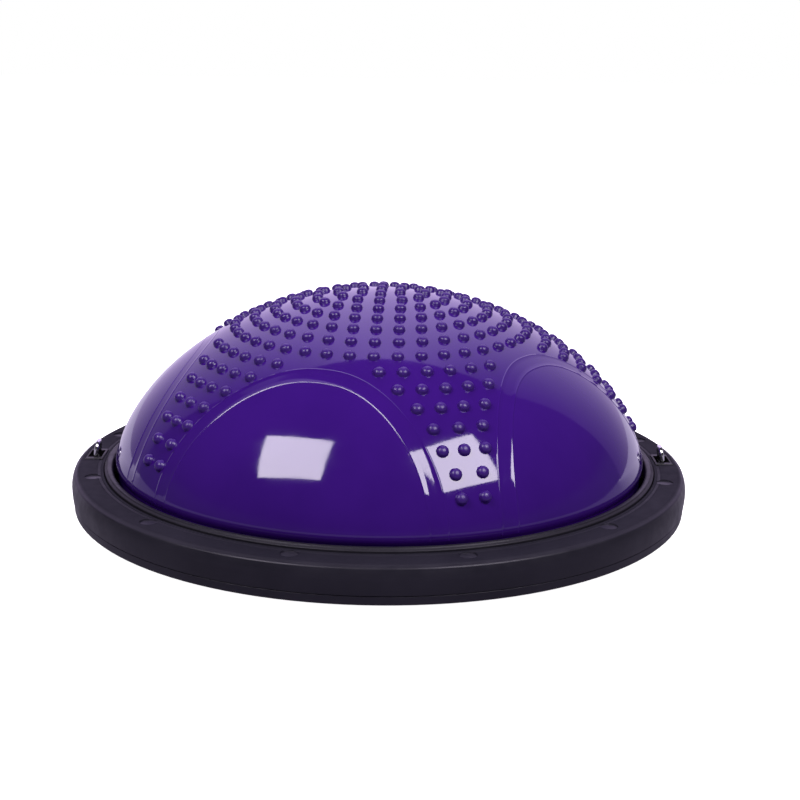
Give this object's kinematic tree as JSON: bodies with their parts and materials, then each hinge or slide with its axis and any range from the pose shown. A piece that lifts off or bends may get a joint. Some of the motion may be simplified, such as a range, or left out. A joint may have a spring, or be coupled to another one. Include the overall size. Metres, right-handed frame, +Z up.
{
  "type": "balance dome trainer",
  "caption": "Half-ball balance trainer: inflated studded dome clamped in a round platform, with hinged wire loops for bands and an air valve below.",
  "frame": {"origin": "centre of the footprint, at the height of the feet's lowest points", "axes": "+Z up through the dome's top; the two wire loops are at -X and +X; -Y is the side seen from the front"},
  "size_m": [0.5799, 0.58, 0.1973],
  "materials": {
    "dome_skin": "gloss moulded vinyl",
    "platform_plastic": "satin moulded",
    "lip_plastic": "satin moulded",
    "socket_plastic": "satin moulded",
    "loop_chrome": "polished plated wire",
    "screw_steel": "zinc plated",
    "foot_rubber": "matte rubber",
    "valve_rubber": "soft vinyl"
  },
  "bodies": {
    "platform": {"dome_shell": "dome_skin", "dome_floor": "dome_skin", "lip_ring": "lip_plastic", "top_ring": "platform_plastic", "base_plate": "platform_plastic", "ring_screws": "screw_steel", "valve_seat": "valve_rubber", "socket_left": "socket_plastic", "socket_right": "socket_plastic", "socket_screws": "screw_steel", "foot_1": "foot_rubber", "foot_2": "foot_rubber", "foot_3": "foot_rubber", "foot_4": "foot_rubber", "foot_5": "foot_rubber", "foot_6": "foot_rubber"},
    "loop_left": {"loop_left": "loop_chrome"},
    "loop_right": {"loop_right": "loop_chrome"},
    "valve_plug": {"valve_plug": "valve_rubber"}
  },
  "joints": [
    {"name": "loop_left_hinge", "type": "hinge", "parent": "platform", "child": "loop_left", "pos_m": [-0.2722, 0, 0.03], "axis": [0, -1, 0], "range_deg": [-28, 44]},
    {"name": "loop_right_hinge", "type": "hinge", "parent": "platform", "child": "loop_right", "pos_m": [0.2722, 0, 0.03], "axis": [0, 1, 0], "range_deg": [-28, 44]},
    {"name": "valve_plug_pull", "type": "slide", "parent": "platform", "child": "valve_plug", "axis": [0, 0, -1], "range_m": [0, 0.01]}
  ]
}
